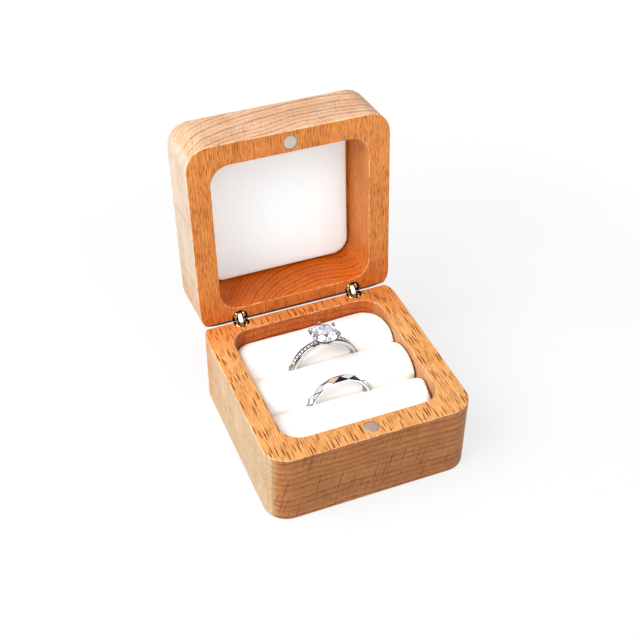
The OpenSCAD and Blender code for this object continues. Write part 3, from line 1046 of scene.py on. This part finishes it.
def curve_through(points, per_span=6):
    """Smooth line through a few points."""
    path = []
    for i in range(len(points) - 1):
        p0, p1 = points[max(i - 1, 0)], points[i]
        p2, p3 = points[i + 1], points[min(i + 2, len(points) - 1)]
        for k in range(per_span):
            t = k / per_span
            path.append(0.5 * (2 * p1 + (p2 - p0) * t + (2 * p0 - 5 * p1 + 4 * p2 - p3) * t * t
                               + (3 * p1 - p0 - 3 * p2 + p3) * t ** 3))
    path.append(points[-1].copy())
    return path


def make_head():
    """Six claws over the centre stone, joined by scalloped wires and a ring at the foot."""
    bm = bmesh.new()
    foot_z = SHANK_CENTRE.z + SHANK_R - 0.2 * MM - GIRDLE_Z
    claws = 6
    gap = 2 * pi / claws

    def line(*stops):
        """Points (distance from the axis, turn, height over the girdle) round the stone."""
        return [Vector((STONE_X + r * cos(turn), STONE_Y + r * sin(turn), GIRDLE_Z + z))
                for r, turn, z in stops]

    def arc(r, z, steps, radius):
        """Level bar from one claw to the next."""
        path = line(*((r, turn + gap * k / steps, z) for k in range(steps + 1)))
        tube(bm, path, [radius] * len(path), 10)

    for i in range(claws):
        turn = (i + 0.5) * gap
        path = curve_through(line(
            (1.35 * MM, turn, foot_z), (2.1 * MM, turn, foot_z + 0.9 * MM),
            (STONE_R - 0.08 * MM, turn, -0.75 * MM), (STONE_R + 0.46 * MM, turn, 0),
            (STONE_R + 0.42 * MM, turn, 0.5 * MM), (STONE_R, turn, 0.93 * MM),
            (STONE_R - 0.50 * MM, turn, 0.97 * MM)))
        count = len(path)
        radii = [(0.42 - 0.04 * k / count) * MM for k in range(count)]
        radii[-2:] = [0.32 * MM, 0.18 * MM]
        tube(bm, path, radii, 12)
        wire = curve_through(line(*(
            (r * MM, turn + gap * share, z * MM) for r, share, z in
            ((3.05, 0, -0.75), (2.55, 0.25, -1.45), (2.35, 0.5, -1.65), (2.55, 0.75, -1.45),
             (3.05, 1, -0.75)))))
        tube(bm, wire, [0.26 * MM] * len(wire), 10)
        arc(STONE_R - 0.62 * MM, -0.98 * MM, 10, 0.17 * MM)
        arc(1.5 * MM, foot_z + 0.45 * MM, 8, 0.3 * MM)
    bright_faces = len(bm.faces)
    lip = STONE_R - 0.10 * MM
    bowl = lathe("bowl", [(0.9 * MM, 0), (2.3 * MM, 0.6 * MM), (lip, 1.99 * MM),
                          (lip - 0.18 * MM, 1.99 * MM), (2.2 * MM, 0.75 * MM),
                          (0.5 * MM, 0.05 * MM)])
    bowl.data.transform(Matrix.Translation((STONE_X, STONE_Y, GIRDLE_Z - 2.23 * MM)))
    add_to_bmesh(bm, bowl)
    obj = shape("stone_head", [], [])
    bm.to_mesh(obj.data)
    bm.free()
    consistent_normals(obj)
    paint(obj, HEAD_METAL, DARK_METAL)
    shade_smooth(obj)
    # painted shadow: the bowl under the stone takes the near-black DARK_METAL
    for face in obj.data.polygons:
        face.material_index = 1 if face.index >= bright_faces else 0
    hand_over(obj, None, "base", "white_metal", "solitaire_head")


def make_centre_stone():
    place = (Matrix.Translation((STONE_X, STONE_Y, GIRDLE_Z))
             @ Matrix.Rotation(radians(STONE_TURN), 4, "Z"))
    stone = gem_object("centre_stone", [(place, STONE_R)], STONE, STONE_DEPTH)
    hand_over(stone, None, "base", "clear_stone", "solitaire_stone")


# ---- hinges and magnets ----

EAR_R = 1.86 * MM
EAR_OUT = 1.92 * MM
EAR_DOME = 0.75 * MM
CUP_R = 2.16 * MM
CUP_FLOOR = -1.65 * MM
SLOT_W = 1.75 * MM
LINK_T = 1.15 * MM
LINK_R = 1.5 * MM
PIN_R = 0.54 * MM
BARREL_GAP = 0.09 * MM
PIN_DEPTH = BASE_TOP - BASE_PIN.z
KNURLS = 7
KNURL_LOW = -7.6 * MM
KNURL_STEP = 0.9 * MM
KNURL_DEEP = 0.08 * MM


def barrel_profile():
    """Knurled body that ends in an open cup: outside up, over the lip and down to its floor."""
    low = PIN_DEPTH - BARREL_LEN
    r = BARREL_D / 2 - 0.01 * MM
    lip = PIN_DEPTH - 0.25 * MM
    profile = [(r - 0.4 * MM, low), (r, low + 0.4 * MM)]
    for i in range(KNURLS):
        z = KNURL_LOW + KNURL_STEP * i
        profile += [(r, z), (r - KNURL_DEEP, z + 0.1 * MM), (r - KNURL_DEEP, z + 0.3 * MM),
                    (r, z + 0.4 * MM)]
    profile += [(r, lip - 0.05 * MM), (r - 0.05 * MM, lip), (CUP_R, lip), (CUP_R, CUP_FLOOR),
                (0.2 * MM, CUP_FLOOR)]
    return profile


def ear_loops(way):
    """Round plate about the pin, domed on its outer side, which faces way (1 or -1) along X."""
    half = SLOT_W / 2
    profile = [(half, EAR_R - 0.12 * MM), (half + 0.06 * MM, EAR_R)]
    profile += [(EAR_OUT - EAR_DOME * (1 - s), EAR_R - 0.55 * MM * (1 - c))
                for c, s in quarter(6)]
    profile.append((EAR_OUT, 0.2 * MM))
    return [[Vector((way * x, r * c, r * s)) for c, s in circle(40)] for x, r in profile]


def past_middle(rear):
    """Square bar over what lies past the middle of the open link, in a barrel's own frame.

    rear is the sign of Y in that frame that points to the back of the box.
    """
    half = 4 * MM
    out = Vector((0, rear * sin(LINK_ANGLE), cos(LINK_ANGLE)))
    along = Vector((1, 0, 0)).cross(out)
    foot = out * (LINK_LENGTH / 2 - BARREL_GAP)
    corners = [foot - along * half, foot + along * half,
               foot + along * half + out * half, foot - along * half + out * half]
    return consistent_normals(prism("bar", [(c.y, c.z) for c in corners], 6 * MM))


def make_barrel(side, body, matrix, rear):
    """Barrel of the hinge on a side, left or right, in the block of a body."""
    obj = lathe(f"{side}_{body}_barrel", barrel_profile())
    reach, low = 4 * MM, CUP_FLOOR + 0.02 * MM
    outline = [(-reach, low), (reach, low), (reach, low + 5 * MM), (-reach, low + 5 * MM)]
    cut(obj, [prism("slot", outline, SLOT_W / 2), past_middle(rear)])
    with editing(obj) as bm:
        for way in (-1, 1):
            add_to_bmesh(bm, loft("ear", ear_loops(way)))
    smooth(consistent_normals(obj), 40)
    hand_over(obj, BARREL_BRASS, body, "brass", f"{side}_hinge_{body}_barrel", matrix=matrix)


def make_link(side, matrix):
    """Flat link with round ends and a hole for each pin."""
    steps = 20
    outline = [(LINK_R * cos(start + pi * i / steps),
                end + LINK_R * sin(start + pi * i / steps))
               for end, start in ((0, pi), (LINK_LENGTH, 0)) for i in range(steps + 1)]
    obj = prism(f"{side}_link", outline, LINK_T / 2)
    reach = 3 * MM
    cut(obj, [hole_cutter(Vector((-reach, 0, z)), Vector((reach, 0, z)), PIN_R)
              for z in (0, LINK_LENGTH)])
    soften_edges(consistent_normals(obj), 0.28 * MM, 3, 40)
    smooth(obj, 35)
    hand_over(obj, LINK_BRASS, "hinge_links", "brass", f"{side}_hinge_link", matrix=matrix)


def finish_node(node, material):
    """Material of a CAD node that stays visible."""
    for slot in frame["nodes"][node].material_slots:
        slot.material = material


def make_hinges():
    for side, x in (("left", -HINGE_X), ("right", HINGE_X)):
        shift = Vector((x, 0, 0))
        at_base = Matrix.Translation(BASE_PIN + shift)
        at_lid = LID_OPEN @ Matrix.Translation(SHUT_LID_PIN + shift) @ UPSIDE_DOWN
        make_barrel(side, "base", at_base, 1)
        make_barrel(side, "lid", at_lid, -1)
        make_link(side, LINK_OPEN @ at_base)
        for pin in ("base_pin", "lid_pin"):
            finish_node(f"{side}_hinge_{pin}", BRASS)


def make_magnets():
    r, edge = MAGNET_D / 2, 0.15 * MM
    profile = [(r, 0), (r, MAGNET_T - edge), (r - edge * 0.3, MAGNET_T - edge * 0.3),
               (r - edge, MAGNET_T), (r * 0.5, MAGNET_T), (r * 0.1, MAGNET_T)]
    low = MAGNET_T + 0.03 * MM
    in_base = Matrix.Translation((0, MAGNET_Y, BASE_TOP - low))
    in_lid = LID_OPEN @ Matrix.Translation((0, MAGNET_Y, LID_FACE + low)) @ UPSIDE_DOWN
    for body, material, matrix in (("base", BASE_NICKEL, in_base), ("lid", LID_NICKEL, in_lid)):
        obj = smooth(lathe(f"{body}_magnet_disc", profile, 64), 50)
        hand_over(obj, material, body, "magnet_metal", f"{body}_magnet", matrix=matrix)


make_rolls()
make_lid_pad()
make_band()
make_solitaire_ring()
make_head()
make_centre_stone()
make_hinges()
make_magnets()
finish_node("insert_board", CARD)


# ---- studio ----

WORLD_LIGHT = 0.42


def make_floor():
    """Pale floor. Its glow rises with distance, so that it meets the white surround unseen."""
    g = Nodes("pale_floor")
    place = g.add("TexCoord").outputs["Object"]
    grain = g.noise(place, 40.0, 3.0)
    near = g.remap(g.math("DIVIDE", 0.1, g.vector("LENGTH", place)), 0.03, 0.8)
    g.set(Base_Color=g.mix(grain, [0.19] * 3, [0.21] * 3), Roughness=0.9,
          Emission_Color=g.mix(near, [0.94] * 3, [0.73] * 3), Emission_Strength=1.0)
    half = 12.0
    corners = [(-half, -half, 0), (half, -half, 0), (half, half, 0), (-half, half, 0)]
    floor = shape("studio_floor", corners, [[0, 1, 2, 3]])
    paint(floor, g.material)


def make_light(name, place, aim, size, watts):
    data = assign(bpy.data.lights.new(name, "AREA"), shape="SQUARE", size=size, energy=watts)
    turn = (Vector(aim) - Vector(place)).to_track_quat("-Z", "Y")
    assign(add_object(name, data), location=place, rotation_mode="QUATERNION",
           rotation_quaternion=turn)


def make_world():
    """White studio surround. Gloss and glass see it with dark flags, which give metal contrast."""
    g = Nodes("studio", world=True)
    x, y, z = g.split(g.add("TexCoord").outputs["Generated"])
    turn = g.math("ARCTAN2", x, y)
    strip = g.times(g.remap(g.math("SINE", g.scaled(turn, 7.0, 4.8)), 0.1, 0.25),
                    g.remap(z, 0.12, 0.2))
    ray = g.add("LightPath")
    plain = g.largest(ray.outputs["Is Camera Ray"], ray.outputs["Is Diffuse Ray"])
    flag = g.times(g.largest(strip, g.remap(z, 0.87, 0.90)), g.minus(1.0, plain))
    bpy.context.scene.world = g.set(
        Color=g.mix(flag, (1, 1, 1), (0.03, 0.03, 0.035)),
        Strength=g.scaled(ray.outputs["Is Camera Ray"], 1 - WORLD_LIGHT, WORLD_LIGHT))


CAMERA_AZIMUTH = -22.684
CAMERA_ELEVATION = 40.646
CAMERA_ROLL = 0.722
CAMERA_AIM = Vector((-1.709, 5.994, 35.674)) * MM
CAMERA_DISTANCE = 321.32 * MM
CAMERA_LENS = 64.86


def make_camera():
    a, e, r = (radians(v) for v in (CAMERA_AZIMUTH, CAMERA_ELEVATION, CAMERA_ROLL))
    back = Vector((sin(a) * cos(e), -cos(a) * cos(e), sin(e)))
    level = Vector((cos(a), sin(a), 0))
    high = back.cross(level)
    right = level * cos(r) + high * sin(r)
    up = high * cos(r) - level * sin(r)
    data = assign(bpy.data.cameras.new("camera"), lens=CAMERA_LENS, sensor_width=36,
                  clip_start=0.01)
    turned = Matrix((right, up, back)).transposed().to_4x4()
    camera = add_object("camera", data)
    camera.matrix_world = Matrix.Translation(CAMERA_AIM + back * CAMERA_DISTANCE) @ turned
    bpy.context.scene.camera = camera


make_floor()
make_world()
make_light("key", (-0.55, -0.08, 0.62), (0, 0, 0.04), 0.7, 8.8)
make_light("fill", (0.28, -0.62, 0.76), (0, 0, 0.04), 0.5, 2.1)
make_camera()
bpy.context.scene.view_settings.view_transform = "Standard"
